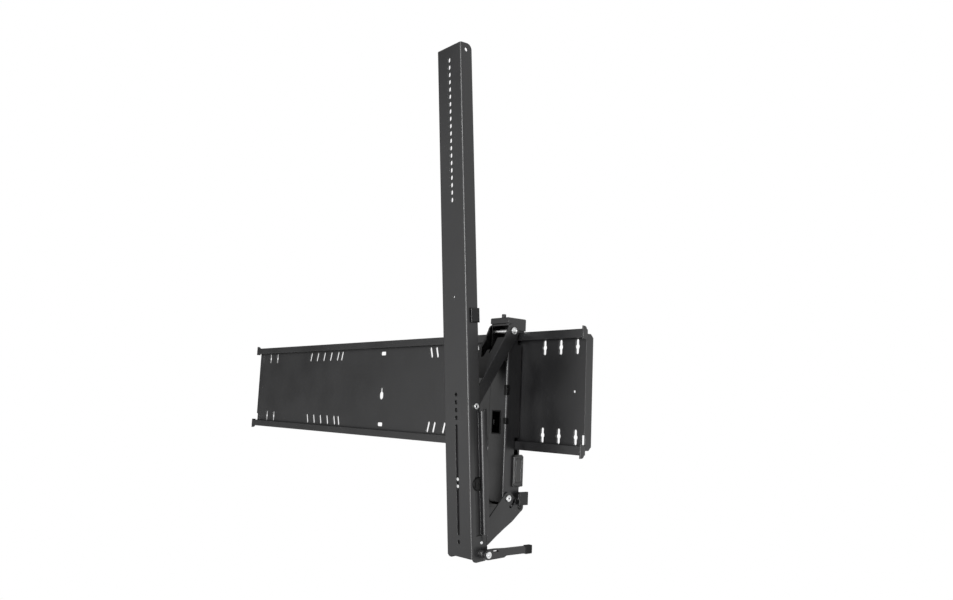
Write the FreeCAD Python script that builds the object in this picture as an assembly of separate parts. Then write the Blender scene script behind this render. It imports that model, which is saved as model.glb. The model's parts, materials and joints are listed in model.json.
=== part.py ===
"""Tilting wall mount for a large display.

A pressed steel plate spans the wall. A hanger bracket hooks over its top rail and latches
under its bottom rail. Two links carry the long display arm, so that the arm swings out,
rises and leans forward. X runs along the wall, Y points into it, and Z is up. The origin is
the centre of the plate on the wall.
"""
import FreeCAD, Part
import math
import os

V = FreeCAD.Vector

# Running gaps
pin_gap = 0.05          # radial, pin in a turning hole
face_gap = 0.3          # between flat faces of pieces that move past each other
seat_gap = 0.1          # between pieces that are fixed together
washer_gap = 1.0        # between two plates with a washer in between

# Wall plate
plate_half_length = 565.5
plate_half_height = 100.0
plate_stand_off = 16.4  # wall to the front face of the plate
plate_thickness = 2.5
rail_depth = 10.9       # front face of the plate to the front of a rail
rail_lip = 14.0         # height of a rail's front lip
end_flange_half = 93.0
end_flange_chamfer = 6.0
slot_row_height = 72.7  # centre of the slot rows above and below the middle
slant_slot_length = 22.0
slant_slot_width = 7.0
slant_slot_angle = 16.0
slant_slot_first = 164.4
slant_slot_last = 302.9
slant_slot_pitch = 30.1
slant_slot_count = 5    # besides the first
end_slot_last = plate_half_length - 19.3
end_slot_pitch = 36.4
end_slot_count = 3
end_slot_length = 25.0
end_slot_width = 6.6
end_slot_middle = 9.6   # diameter of the wide middle
level_window_width = 18.5
level_window_height = 7.8
level_window_z = 74.6
keyhole_z = -14.0       # centre of its wide part
keyhole_width = 14.4
keyhole_height = 17.4
keyhole_neck_width = 6.2
keyhole_neck_top = 2.4
tack_hole_x = plate_half_length - 23.6
tack_hole_diameter = 5.0
bend_slit_depth = 6.4   # from the plate's end inwards
bend_slit_length = 16.5
bend_slit_z = -77.0

# Rail end caps
cap_thickness = 2.5
cap_overhang = 5.0      # above and below the rail
cap_overhang_front = 0.5
cap_rear_margin = 2.0   # in front of the plate's face
cap_rear_radius = 6.0
cap_plug_length = 14.0

# Display arm
arm_from_end = 167.6    # centre of the arm to the plate's right end
arm_x = plate_half_length - arm_from_end
arm_tilt = 4.9          # degrees that the arm leans forward as shown
arm_foot_y = -122.1     # front face of the arm at its lower end
arm_foot_z = -272.3
arm_width = 62.6
arm_depth = 24.0
arm_sheet = 2.5
arm_bend = 3.5
hole_pitch = 12.6
display_hole_low = 23.7
display_hole_span = 800.0
arm_top_margin = 23.3   # arm beyond its highest display slot
arm_length = display_hole_low + display_hole_span + arm_top_margin
small_slot_count = 20
small_slot_width = 6.6
small_slot_height = 8.4
low_hole_diameter = 6.5
round_hole_first = 223.2
round_hole_count = 4
round_hole_diameter = 7.0
single_hole_up = 421.8
single_hole_diameter = 4.5
long_slot_low = 34.3
long_slot_high = 212.5
long_slot_width = 6.2
arm_strip = 10.5        # flange left in front of the side cut
side_cut_low = 35.0
side_cut_high = 234.5
arm_eye_diameter = 7.0
arm_eye_drop = 11.0     # eye below the arm's upper end
arm_eye_depth = 12.5
arm_corner = 10.0
lug_back = 33.5         # lugs at the flanges' feet, from the arm's front face
lug_top = 22.0
lug_foot = -6.0
lug_front = 2.5
lug_corner = 7.0

# Linkage, pivot places as (y, z) with the arm as shown
upper_pivot = (-42.5, 101.3)
elbow_pivot = (-126.7, -30.0)
lower_pivot = (-41.3, -180.4)
lower_elbow = (-103.0, -247.0)
pin_diameter = 8.0
pin_head_diameter = 11.0
pin_head_thickness = 2.0
rivet_head_diameter = 9.4
rivet_bore_diameter = 3.2
link_sheet = 2.5
bracket_sheet = 2.0     # tilt bracket
hanger_sheet = 2.5
washer_diameter = 15.0

# Upper link, along and across the line between its pivots
upper_link_front = 9.7
upper_web_start = 21.0
upper_web_end = 106.0
upper_head_radius = 13.0
upper_foot_radius = 9.0
notch_outline = [(-21.0, 20.0), (-21.0, 41.0), (-10.0, 62.0), (-4.0, 62.0), (-2.5, 47.0),
                 (3.5, 47.0), (4.5, 54.0), (9.0, 54.0), (6.5, 20.0)]   # across and along

# Lower link
lower_head_radius = 10.0
lower_foot_radius = 11.0
lower_lobe = (-14.0, -195.5)
lower_lobe_radius = 8.5
lower_belly = [(-30.0, -218.5), (-59.6, -235.9), (-82.8, -252.3)]
lower_toe = (3.0, 0.5)          # behind the elbow eye's foot, and above it
lobe_toe = (3.0, 0.6)           # the same at the lobe's foot
lobe_back = (-1.2, 4.0)         # from the lobe's rearmost point
head_back = (6.0, -2.2)         # from the head's highest point
elbow_play = 2.6        # radial room in the lower link's elbow eye
stop_slot_width = 5.0
stop_slot_sweep_up = 11.5
stop_slot_sweep_down = 38.0
stop_radius = 15.0      # stop pin from the lower pivot
stop_angle = -55.0      # its direction from +Y, in degrees
stop_pin_diameter = 4.0

# Hook on the top rail
hook_sheet = 3.0
hook_width_gap = 0.6
hook_shelf_rise = 10.6  # shelf over the top rail
hook_shelf_sheet = 3.4
hook_shelf_low = plate_half_height + hook_shelf_rise
hook_shelf_high = hook_shelf_low + hook_shelf_sheet
hook_front_foot = 82.0
hook_rear_foot = 88.0

# Hanger bracket
hanger_front = -50.5
hanger_head_rear = -10.0
hanger_tail_rear = -9.0
hanger_mid_rear = -18.5
hanger_rail_rear = -28.5
hanger_head_foot = 103.5
hanger_mid_top = 78.0
hanger_mid_foot = -80.0
hanger_tail_top = -110.0
hanger_tail_foot = -162.0
hanger_step_rear = -14.2
hanger_step_drop = 1.5
hanger_foot = -200.0
hanger_bend = 3.5
hanger_bend_reach = 10.0   # depth of the folded corner
hanger_web_top = 76.0
hanger_web_foot = -188.0
tail_web_top = -112.0
tail_web_foot = -190.0
hanger_corner = 9.0
cap_above_shelf = 10.5  # top of the cap over the hook's shelf
top_cap_height = hook_shelf_high + cap_above_shelf
top_cap_sheet = 2.5
top_cap_skirt = 6.0     # inside the side plates
top_cap_lip = 10.0      # over the front
top_cap_bend = 1.9
window_low = -75.0      # window in the front web
window_high = -35.0
window_left = -12.6
window_right = 9.7
window_frame = 1.6
liner_depth = 9.0
liner_lip = 0.5
clip_places = [(-0.3, 17.0), (-52.4, 10.0)]   # height of the centre, length
clip_reach = 6.0        # along both faces of the fold
clip_proud = 0.8
clip_wall = 3.8
clip_boss_diameter = 5.0
clip_boss_height = 1.2

# Height screw
screw_diameter = 8.0
screw_stub = 7.0        # shown over the cap
screw_top = top_cap_height + screw_stub
screw_y = -42.5
screw_socket = 4.0
screw_socket_depth = 4.0

# Latch
slider_width = 33.0
slider_front = -18.2
slider_rear = -10.2
slider_top = -112.0
slider_foot = -171.0
nose_front = -13.5
nose_top = -96.0
latch_travel = 6.0
spring_slot_width = 8.0
spring_diameter = 6.0
spring_wire = 0.8
spring_turns = 9
spring_length = 24.0
guide_slot_width = 5.4
guide_slot_x = 11.5
guide_pin_diameter = 5.0
guide_pin_z = -150.0
spring_pin_z = -158.0
latch_screw_head = 2.5
latch_screw_tail = 1.2
tab_bar_height = 3.2
tab_bar_front = hanger_step_rear + face_gap
tab_bar_top = -171.4
tab_top = -170.4
tab_foot = -192.0
tab_front = -21.5
tab_rear = -1.5
tab_inner = 28.6
tab_outer = 33.4
cover_front = -31.5
cover_rear = -8.6
cover_low = -162.0
cover_corner = 3.4
cover_foot_corner = 1.2
cover_high = -108.7
cover_thickness = 4.2

# Tilt bracket, from the arm's front face backwards and from its foot up
bracket_lip_out = 38.4  # half width over the outer returns
bracket_lip_back = 22.5
bracket_return_back = 33.0
bracket_web_foot = 4.0
bracket_bend = 1.6
bar_bend = 5.0          # round front corner of the returns
bracket_top = 254.0
bar_top = 237.0
bar_foot = 25.0
lip_margin = 1.0        # from the lips to the ends of the arm's side cuts
low_pin_end_diameter = 5.0   # where it passes the arm's flanges
low_pin_proud = 0.4
stud_ups = (112.4, 123.7)
stud_diameter = 5.6
nut_width = 9.0
nut_thickness = 4.0

# Kickstand
kick_pivot = (-99.0, -264.6)
kick_root_radius = 8.0
kick_low = -268.7
kick_high = -257.2
kick_root_high = -256.2
kick_root_low = -271.2
kick_step_run = 5.0
kick_step_y = -59.0
kick_end = -3.4
kick_thickness = 6.0
kick_pin_diameter = 6.0
kick_head_diameter = 11.0
kick_head_thickness = 1.5
kick_slot = (-82.5, -259.6)
kick_slot_length = 12.0
kick_slot_width = 2.6
kick_shoulder_diameter = 10.0
tip_front = -15.0
tip_rear = -1.0
tip_wall = 1.2

# Plastic pieces on the arm's flank, from its front face backwards and from its foot up
arm_clip_low = 378.0
arm_clip_high = 402.0
arm_clip_back = 8.0
arm_clip_thickness = 3.4
arm_clip_hook = 2.0     # behind the flange's rear edge
arm_knob_up = 116.5
arm_knob_back = 18.5
arm_knob_diameter = 22.0
arm_knob_thickness = 3.5

# Half widths of the nested plates, worked out from the arm inwards
arm_inner = arm_width / 2 - arm_sheet
bracket_outer = arm_inner - face_gap
bracket_inner = bracket_outer - bracket_sheet
link_outer = bracket_inner - washer_gap
link_inner = link_outer - link_sheet
hanger_outer = link_inner - washer_gap
hanger_inner = hanger_outer - hanger_sheet
washer_thickness = washer_gap - face_gap

plate_front = -plate_stand_off
plate_back = plate_front + plate_thickness
rail_front = plate_front - rail_depth


def box(x0, x1, y0, y1, z0, z1):
    """A block between two corners."""
    return Part.makeBox(x1 - x0, y1 - y0, z1 - z0, V(x0, y0, z0))


def rod(start, direction, radius, length):
    """A round bar from a point."""
    return Part.makeCylinder(radius, length, V(*start), V(*direction))


def cross_rod(y, z, radius, x0, x1):
    """A round bar along X."""
    return rod((x0, y, z), (1, 0, 0), radius, x1 - x0)


def side_plate(points, x0, x1):
    """A flat plate across X, cut to an outline of (y, z) points."""
    corners = [V(x0, y, z) for y, z in points]
    outline = Part.makePolygon(corners + corners[:1])
    return Part.Face(outline).extrude(V(x1 - x0, 0, 0))


def hull_outline(circles):
    """The band between two circles (y, z, r) as four tangent points."""
    (ya, za, ra), (yb, zb, rb) = circles
    run = math.hypot(yb - ya, zb - za)
    along = math.atan2(zb - za, yb - ya)
    lean = math.acos((ra - rb) / run)
    points = []
    for turn, first in ((lean, True), (-lean, False)):
        angle = along + turn
        pair = [(ya + ra * math.cos(angle), za + ra * math.sin(angle)),
                (yb + rb * math.cos(angle), zb + rb * math.sin(angle))]
        points += pair if first else pair[::-1]
    return points


def mirrored(shape):
    """The same shape on the other side of the plane X = 0."""
    return shape.mirror(V(0, 0, 0), V(1, 0, 0))


def both_sides(shape):
    return [shape, mirrored(shape)]


def joined(shapes):
    return shapes[0].fuse(shapes[1:]).removeSplitter()


def cut(shape, tools):
    return shape.cut(Part.makeCompound(tools)) if tools else shape


def upright_slot(x, z, width, height, y0, y1, angle=0.0):
    """A cutter for a slot with round ends, turned by an angle about Y."""
    radius = width / 2
    reach = height / 2 - radius
    parts = [box(-radius, radius, y0, y1, -reach, reach)]
    parts += [rod((0, y0, end), (0, 1, 0), radius, y1 - y0) for end in (-reach, reach)]
    slot = joined(parts)
    slot.rotate(V(0, 0, 0), V(0, 1, 0), angle)
    slot.translate(V(x, 0, z))
    return slot


def edges_at(shape, test):
    """The straight edges whose middle point passes a test."""
    found = []
    for edge in shape.Edges:
        middle = edge.CenterOfMass
        if test(middle, edge):
            found.append(edge)
    return found


def channel(width, depth, length, sheet, bend):
    """A bent channel with its web at y = 0, its flanges towards +Y and its foot at z = 0."""
    half = width / 2
    outer = box(-half, half, 0, depth, 0, length)
    corner = edges_at(outer, lambda m, e: abs(m.y) < 0.01 and abs(abs(m.x) - half) < 0.01)
    outer = outer.makeFillet(bend, corner)
    inner_half = half - sheet
    inner = box(-inner_half, inner_half, sheet, depth + 1, -1, length + 1)
    corner = edges_at(inner, lambda m, e: abs(m.y - sheet) < 0.01
                      and abs(abs(m.x) - inner_half) < 0.01)
    inner = inner.makeFillet(bend - sheet, corner)
    return outer.cut(inner)


def round_edges(shape, radius, test):
    edges = edges_at(shape, test)
    return shape.makeFillet(radius, edges) if edges else shape


def at_arm(shape):
    """Moves a shape along the wall to the arm's place."""
    moved = shape.copy()
    moved.translate(V(arm_x, 0, 0))
    return moved


def on_arm(shape):
    """Places a shape drawn on the upright arm, leaned as the arm is."""
    moved = shape.copy()
    moved.rotate(V(0, 0, 0), V(1, 0, 0), arm_tilt)
    moved.translate(V(arm_x, arm_foot_y, arm_foot_z))
    return moved


def in_arm(point):
    """A place (y, z) as (back, up) measured on the arm."""
    lean = math.radians(arm_tilt)
    back = point[0] - arm_foot_y
    up = point[1] - arm_foot_z
    return (back * math.cos(lean) + up * math.sin(lean),
            up * math.cos(lean) - back * math.sin(lean))


def save(name, solids):
    """Writes one piece, or a group of alike pieces, under its name."""
    shape = solids[0] if len(solids) == 1 else Part.makeCompound(solids)
    shape.exportStep(os.path.join("parts", name + ".step"))
    volume = sum(solid.Volume for solid in solids)
    print(f"{name:18s} {len(shape.Solids):3d} solid(s) {volume / 1000:9.2f} cm3 valid {shape.isValid()}")


# Wall plate
def rail(side):
    """One rail: the plate's edge folded forward and back over itself, top (+1) or bottom (-1)."""
    edge = side * plate_half_height
    inner = edge - side * plate_thickness
    lip_end = edge - side * rail_lip
    half = plate_half_length
    shelf = box(-half, half, rail_front, plate_back, min(edge, inner), max(edge, inner))
    lip = box(-half, half, rail_front, rail_front + plate_thickness, min(edge, lip_end), max(edge, lip_end))
    return [shelf, lip]


def end_flange():
    """The right end, folded back to the wall, with its corners cut off."""
    top = end_flange_half
    near = plate_back - plate_thickness
    outline = [(near, -top), (-end_flange_chamfer, -top), (0, -top + end_flange_chamfer),
               (0, top - end_flange_chamfer), (-end_flange_chamfer, top), (near, top)]
    return side_plate(outline, plate_half_length - plate_thickness, plate_half_length)


def end_slot(x, z, y0, y1):
    slot = upright_slot(x, z, end_slot_width, end_slot_length, y0, y1)
    return [slot, rod((x, y0, z), (0, 1, 0), end_slot_middle / 2, y1 - y0)]


def wall_plate():
    half = plate_half_length
    face = box(-half, half, plate_front, plate_back, -plate_half_height, plate_half_height)
    body = joined([face] + rail(1) + rail(-1) + both_sides(end_flange()))
    y0 = plate_front - 1
    y1 = plate_back + 1
    holes = []
    slant_places = [slant_slot_first] + [slant_slot_last - slant_slot_pitch * k
                                         for k in range(slant_slot_count)]
    for side in (1, -1):
        for row in (1, -1):
            z = row * slot_row_height
            for x in slant_places:
                holes.append(upright_slot(side * x, z, slant_slot_width, slant_slot_length,
                                          y0, y1, -side * row * slant_slot_angle))
            for k in range(end_slot_count):
                holes += end_slot(side * (end_slot_last - end_slot_pitch * k), z, y0, y1)
    for row in (1, -1):
        window = box(-level_window_width / 2, level_window_width / 2, y0, y1,
                     row * level_window_z - level_window_height / 2,
                     row * level_window_z + level_window_height / 2)
        middle = (y0 + y1) / 2
        holes.append(round_edges(window, level_window_height / 3, lambda m, e: abs(m.y - middle) < 0.01))
    holes.append(upright_slot(0, keyhole_z, keyhole_width, keyhole_height, y0, y1))
    neck = keyhole_neck_top - keyhole_z
    holes.append(upright_slot(0, keyhole_z + neck / 2, keyhole_neck_width, neck, y0, y1))
    for side in (1, -1):
        holes.append(rod((side * tack_hole_x, y0, 0), (0, 1, 0), tack_hole_diameter / 2, y1 - y0))
        near = side * (half - bend_slit_depth)
        far = side * (half + 1)
        holes.append(box(min(near, far), max(near, far), y0, plate_back + seat_gap,
                         bend_slit_z - bend_slit_length / 2, bend_slit_z + bend_slit_length / 2))
    return cut(body, holes)


def rail_end_cap(side):
    """A cap over the right end of one rail, with a plug inside the rail."""
    edge = side * plate_half_height
    x0 = plate_half_length + seat_gap
    top = edge + side * cap_overhang
    foot = edge - side * (rail_lip + cap_overhang / 2)
    front = rail_front - cap_overhang_front
    rear = plate_front - cap_rear_margin
    head = box(x0, x0 + cap_thickness, front, rear, min(top, foot), max(top, foot))
    head = round_edges(head, cap_rear_radius, lambda m, e: m.y > rear - 0.01 and abs(m.z - top) < 0.01)
    head = round_edges(head, cap_thickness / 3, lambda m, e: m.x > x0 + cap_thickness - 0.01)
    plug_top = edge - side * (plate_thickness + seat_gap)
    plug_foot = edge - side * rail_lip
    plug = box(x0 - cap_plug_length, x0 + cap_thickness / 2,
               rail_front + plate_thickness + seat_gap, plate_front - seat_gap,
               min(plug_top, plug_foot), max(plug_top, plug_foot))
    return joined([head, plug])


def rail_end_caps():
    right = [rail_end_cap(1), rail_end_cap(-1)]
    return right + [mirrored(cap) for cap in right]


# Display arm
def foot_lug():
    """The right flange's lug, below and behind its foot."""
    lug = box(arm_inner, arm_width / 2, lug_front, lug_back, lug_foot, lug_top)
    middle = arm_inner + arm_sheet / 2
    return round_edges(lug, lug_corner, lambda m, e: abs(m.x - middle) < 0.01
                       and (m.z < lug_foot + 0.01 or m.y > lug_back - 0.01))


def display_arm():
    body = channel(arm_width, arm_depth, arm_length, arm_sheet, arm_bend)
    body = joined([body] + both_sides(foot_lug()))
    half = arm_width / 2
    body = round_edges(body, arm_corner, lambda m, e: m.z > arm_length - 0.01 and abs(m.y - arm_depth) < 0.01
                       and abs(abs(m.x) - half + arm_sheet / 2) < 0.01)
    y0 = -1
    y1 = arm_sheet + 1
    holes = []
    slot_top = display_hole_low + display_hole_span
    for k in range(small_slot_count):
        holes.append(upright_slot(0, slot_top - hole_pitch * k, small_slot_width, small_slot_height, y0, y1))
    for k in range(round_hole_count):
        up = round_hole_first + hole_pitch * k
        holes.append(rod((0, y0, up), (0, 1, 0), round_hole_diameter / 2, y1 - y0))
    holes.append(rod((0, y0, single_hole_up), (0, 1, 0), single_hole_diameter / 2, y1 - y0))
    holes.append(rod((0, y0, display_hole_low), (0, 1, 0), low_hole_diameter / 2, y1 - y0))
    holes.append(upright_slot(0, (long_slot_low + long_slot_high) / 2, long_slot_width,
                              long_slot_high - long_slot_low, y0, y1))
    holes.append(cross_rod(arm_eye_depth, arm_length - arm_eye_drop, arm_eye_diameter / 2,
                           -half - 1, half + 1))
    for place, radius in ((elbow_pivot, pin_diameter / 2), (lower_elbow, low_pin_end_diameter / 2),
                          (kick_pivot, kick_pin_diameter / 2)):
        back, up = in_arm(place)
        holes.append(cross_rod(back, up, radius + seat_gap, -half - 1, half + 1))
    for side in (1, -1):
        x0 = side * half
        x1 = side * (arm_inner - 1)
        holes.append(box(min(x0, x1) - 1, max(x0, x1) + 1, arm_strip, arm_depth + 1,
                         side_cut_low, side_cut_high))
    return on_arm(cut(body, holes))


# Tilt bracket
def bracket_side():
    """The right side of the bracket: inner wall, outward lip through the side cut, and return."""
    web_front = arm_sheet + seat_gap
    wall = box(bracket_inner, bracket_outer, web_front, bracket_lip_back + bracket_sheet,
               bracket_web_foot, bracket_top)
    low = side_cut_low + lip_margin
    high = side_cut_high - lip_margin
    turn_out = bracket_lip_out - bar_bend
    turn_back = bracket_lip_back + bar_bend
    lip = box(bracket_inner, turn_out, bracket_lip_back, bracket_lip_back + bracket_sheet, low, high)
    centre = (turn_out, turn_back, low)
    ring = rod(centre, (0, 0, 1), bar_bend, high - low)
    ring = ring.cut(rod(centre, (0, 0, 1), bar_bend - bracket_sheet, high - low))
    bend = ring.common(box(turn_out, bracket_lip_out, bracket_lip_back, turn_back, low, high))
    back = box(bracket_lip_out - bracket_sheet, bracket_lip_out, turn_back, bracket_return_back,
               bar_foot, bar_top)
    return [wall, lip, bend, back]


def tilt_bracket():
    web_front = arm_sheet + seat_gap
    web = box(-bracket_outer, bracket_outer, web_front, web_front + bracket_sheet,
              bracket_web_foot, bracket_top)
    right = bracket_side()
    body = joined([web] + right + [mirrored(piece) for piece in right])
    body = round_edges(body, bracket_bend, lambda m, e: abs(m.y - web_front) < 0.01
                       and abs(abs(m.x) - bracket_outer) < 0.01)
    holes = []
    for up in stud_ups:
        holes.append(rod((0, 0, up), (0, 1, 0), stud_diameter / 2 + pin_gap, arm_depth))
    for back, up in (in_arm(elbow_pivot), in_arm(lower_elbow)):
        holes.append(cross_rod(back, up, pin_diameter / 2 + pin_gap, -bracket_outer - 1, bracket_outer + 1))
    return on_arm(cut(body, holes))


def arm_studs():
    studs = []
    web_back = arm_sheet + seat_gap + bracket_sheet
    for up in stud_ups:
        shank = rod((0, face_gap, up), (0, 1, 0), stud_diameter / 2, web_back + nut_thickness + 1)
        nut = box(-nut_width / 2, nut_width / 2, web_back + seat_gap, web_back + seat_gap + nut_thickness,
                  up - nut_width / 2, up + nut_width / 2)
        studs.append(on_arm(joined([shank, nut])))
    return studs


def elbow_pin():
    """The upper elbow's hollow rivet, through the arm and the bracket."""
    back, up = in_arm(elbow_pivot)
    half = arm_width / 2 + seat_gap
    reach = half + pin_head_thickness
    body = joined([cross_rod(back, up, pin_diameter / 2, -reach, reach)]
                  + both_sides(cross_rod(back, up, rivet_head_diameter / 2, half, reach)))
    bore = cross_rod(back, up, rivet_bore_diameter / 2, -reach - 1, reach + 1)
    return on_arm(body.cut(bore))


def lower_elbow_pin():
    """The lower elbow's pin, with thinner ends through the arm's flanges."""
    back, up = in_arm(lower_elbow)
    reach = arm_width / 2 + low_pin_proud
    return on_arm(joined([cross_rod(back, up, pin_diameter / 2, -bracket_outer, bracket_outer),
                          cross_rod(back, up, low_pin_end_diameter / 2, -reach, reach)]))


def washer(y, z, inner, outer, x0, x1):
    return cross_rod(y, z, outer, x0, x1).cut(cross_rod(y, z, inner, x0 - 1, x1 + 1))


def elbow_washers():
    washers = []
    for back, up in (in_arm(elbow_pivot), in_arm(lower_elbow)):
        right = washer(back, up, pin_diameter / 2 + pin_gap, washer_diameter / 2,
                       bracket_inner - washer_thickness, bracket_inner)
        washers += [on_arm(piece) for piece in both_sides(right)]
    return washers


def arm_clip():
    """The black clip on the arm's right flank."""
    half = arm_width / 2
    pad = box(half, half + arm_clip_thickness, arm_clip_back, arm_depth + arm_clip_hook,
              arm_clip_low, arm_clip_high)
    pad = round_edges(pad, 1.5, lambda m, e: m.x > half + arm_clip_thickness - 0.01)
    hook = box(half - arm_sheet, half + 1, arm_depth + seat_gap, arm_depth + arm_clip_hook,
               arm_clip_low + arm_clip_hook, arm_clip_high - arm_clip_hook)
    return on_arm(joined([pad, hook]))


def arm_knob():
    """The round black knob on the bracket's wall, seen in the arm's side cut."""
    half = bracket_outer
    radius = arm_knob_diameter / 2
    disc = cross_rod(arm_knob_back, arm_knob_up, radius, half, half + arm_knob_thickness)
    disc = round_edges(disc, 1.0, lambda m, e: m.x > half + arm_knob_thickness - 0.01)
    rear = box(half - 1, half + arm_knob_thickness + 1,
               bracket_lip_back - seat_gap, arm_knob_back + radius + 1,
               arm_knob_up - radius - 1, arm_knob_up + radius + 1)
    front = box(half - 1, half + arm_knob_thickness + 1, arm_knob_back - radius - 1, arm_strip + seat_gap,
                arm_knob_up - radius - 1, arm_knob_up + radius + 1)
    return on_arm(disc.cut(rear).cut(front))


# Links
def upper_link():
    """Two side plates and a front web between the upper pivot and the elbow."""
    ya, za = upper_pivot
    yb, zb = elbow_pivot
    run = math.hypot(yb - ya, zb - za)
    sy = (yb - ya) / run
    sz = (zb - za) / run

    def place(along, out):
        return (ya + sy * along + sz * out, za + sz * along - sy * out)

    outline = [place(0, -upper_head_radius), place(run, -upper_foot_radius), place(run, upper_foot_radius),
               place(upper_web_end, upper_link_front), place(upper_web_start, upper_link_front),
               place(0, upper_head_radius)]
    sides = []
    for x0, x1 in ((link_inner, link_outer), (-link_outer, -link_inner)):
        plate = side_plate(outline, x0, x1)
        ends = [cross_rod(ya, za, upper_head_radius, x0, x1), cross_rod(yb, zb, upper_foot_radius, x0, x1)]
        sides.append(joined([plate] + ends))
    web_outline = [place(upper_web_start, upper_link_front), place(upper_web_end, upper_link_front),
                   place(upper_web_end, upper_link_front - link_sheet),
                   place(upper_web_start, upper_link_front - link_sheet)]
    web = side_plate(web_outline, -link_outer, link_outer)
    body = joined(sides + [web])
    holes = [cross_rod(ya, za, pin_diameter / 2 + pin_gap, -link_outer - 1, link_outer + 1),
             cross_rod(yb, zb, pin_diameter / 2 + pin_gap, -link_outer - 1, link_outer + 1)]
    front = upper_link_front + 1
    corners = [V(x, *place(along, front)) for x, along in notch_outline]
    notch = Part.Face(Part.makePolygon(corners + corners[:1]))
    holes.append(notch.extrude(V(0, -sz, sy) * (link_sheet + 2)))
    return at_arm(cut(body, holes))


def lower_link():
    """Two side plates with a rear lobe, joined by a web under them."""
    yd, zd = lower_pivot
    yc, zc = lower_elbow
    yl, zl = lower_lobe
    circles = [(yd, zd, lower_head_radius), (yc, zc, lower_foot_radius)]
    tangent = hull_outline(circles)
    upper_edge = max((tangent[:2], tangent[2:][::-1]), key=lambda pair: pair[0][1])
    outline = upper_edge + [(yc + lower_toe[0], zc - lower_foot_radius + lower_toe[1])]
    outline += lower_belly[::-1]
    outline += [(yl + lobe_toe[0], zl - lower_lobe_radius + lobe_toe[1]),
                (yl + lower_lobe_radius + lobe_back[0], zl + lobe_back[1]),
                (yd + head_back[0], zd + lower_head_radius + head_back[1])]
    sides = []
    for x0, x1 in ((link_inner, link_outer), (-link_outer, -link_inner)):
        plate = side_plate(outline, x0, x1)
        ends = [cross_rod(y, z, r, x0, x1) for y, z, r in circles]
        ends.append(cross_rod(yl, zl, lower_lobe_radius, x0, x1))
        sides.append(joined([plate] + ends))
    (ya, za), (yb, zb) = lower_belly[0], lower_belly[-1]
    run = math.hypot(yb - ya, zb - za)
    ny = -(zb - za) / run * link_sheet
    nz = (yb - ya) / run * link_sheet
    up = 1.0 if nz > 0 else -1.0
    web_outline = [(ya, za), (yb, zb), (yb + up * ny, zb + up * nz), (ya + up * ny, za + up * nz)]
    web = side_plate(web_outline, -link_outer + link_sheet / 2, link_outer - link_sheet / 2)
    body = joined(sides + [web])
    holes = [cross_rod(yd, zd, pin_diameter / 2 + pin_gap, -link_outer - 1, link_outer + 1),
             cross_rod(yc, zc, pin_diameter / 2 + elbow_play, -link_outer - 1, link_outer + 1)]
    return at_arm(cut(body, holes + stop_slots()))


def stop_place():
    angle = math.radians(stop_angle)
    return (lower_pivot[0] + stop_radius * math.cos(angle), lower_pivot[1] + stop_radius * math.sin(angle))


def stop_slots():
    """Curved slots about the lower pivot, for the stop pin."""
    yd, zd = lower_pivot
    half = stop_slot_width / 2
    start = stop_angle - stop_slot_sweep_up
    sweep = stop_slot_sweep_up + stop_slot_sweep_down
    outer = Part.makeCylinder(stop_radius + half, 2 * link_outer + 2, V(-link_outer - 1, yd, zd), V(1, 0, 0))
    inner = Part.makeCylinder(stop_radius - half, 2 * link_outer + 4, V(-link_outer - 2, yd, zd), V(1, 0, 0))
    ring = outer.cut(inner)
    reach = 2 * stop_radius
    wedge = [(yd, zd)]
    steps = 4
    for k in range(steps + 1):
        angle = math.radians(start + sweep * k / steps)
        wedge.append((yd + reach * math.cos(angle), zd + reach * math.sin(angle)))
    arc = ring.common(side_plate(wedge, -link_outer - 1, link_outer + 1))
    ends = []
    for angle in (math.radians(start), math.radians(start + sweep)):
        ends.append(cross_rod(yd + stop_radius * math.cos(angle), zd + stop_radius * math.sin(angle),
                              half, -link_outer - 1, link_outer + 1))
    return [joined([arc] + ends)]


# Hanger bracket
def hanger_outline():
    return [(hanger_front, top_cap_height - top_cap_sheet),
            (hanger_head_rear, top_cap_height - top_cap_sheet),
            (hanger_head_rear, hanger_head_foot), (hanger_rail_rear, hanger_head_foot),
            (hanger_rail_rear, hanger_mid_top), (hanger_mid_rear, hanger_mid_top),
            (hanger_mid_rear, hanger_mid_foot), (hanger_rail_rear, hanger_mid_foot),
            (hanger_rail_rear, hanger_tail_top), (hanger_tail_rear, hanger_tail_top),
            (hanger_tail_rear, hanger_tail_foot), (hanger_step_rear, hanger_tail_foot - hanger_step_drop),
            (hanger_step_rear, hanger_foot), (hanger_front + hanger_corner, hanger_foot),
            (hanger_front, hanger_foot + hanger_corner)]


def hanger_corner_zone(length, z, gap):
    """The space of a clip on the right fold, with a gap all round."""
    return box(hanger_outer - clip_reach - gap, hanger_outer + 1, hanger_front - 1,
               hanger_front + clip_reach + gap, z - length / 2 - gap, z + length / 2 + gap)


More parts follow.
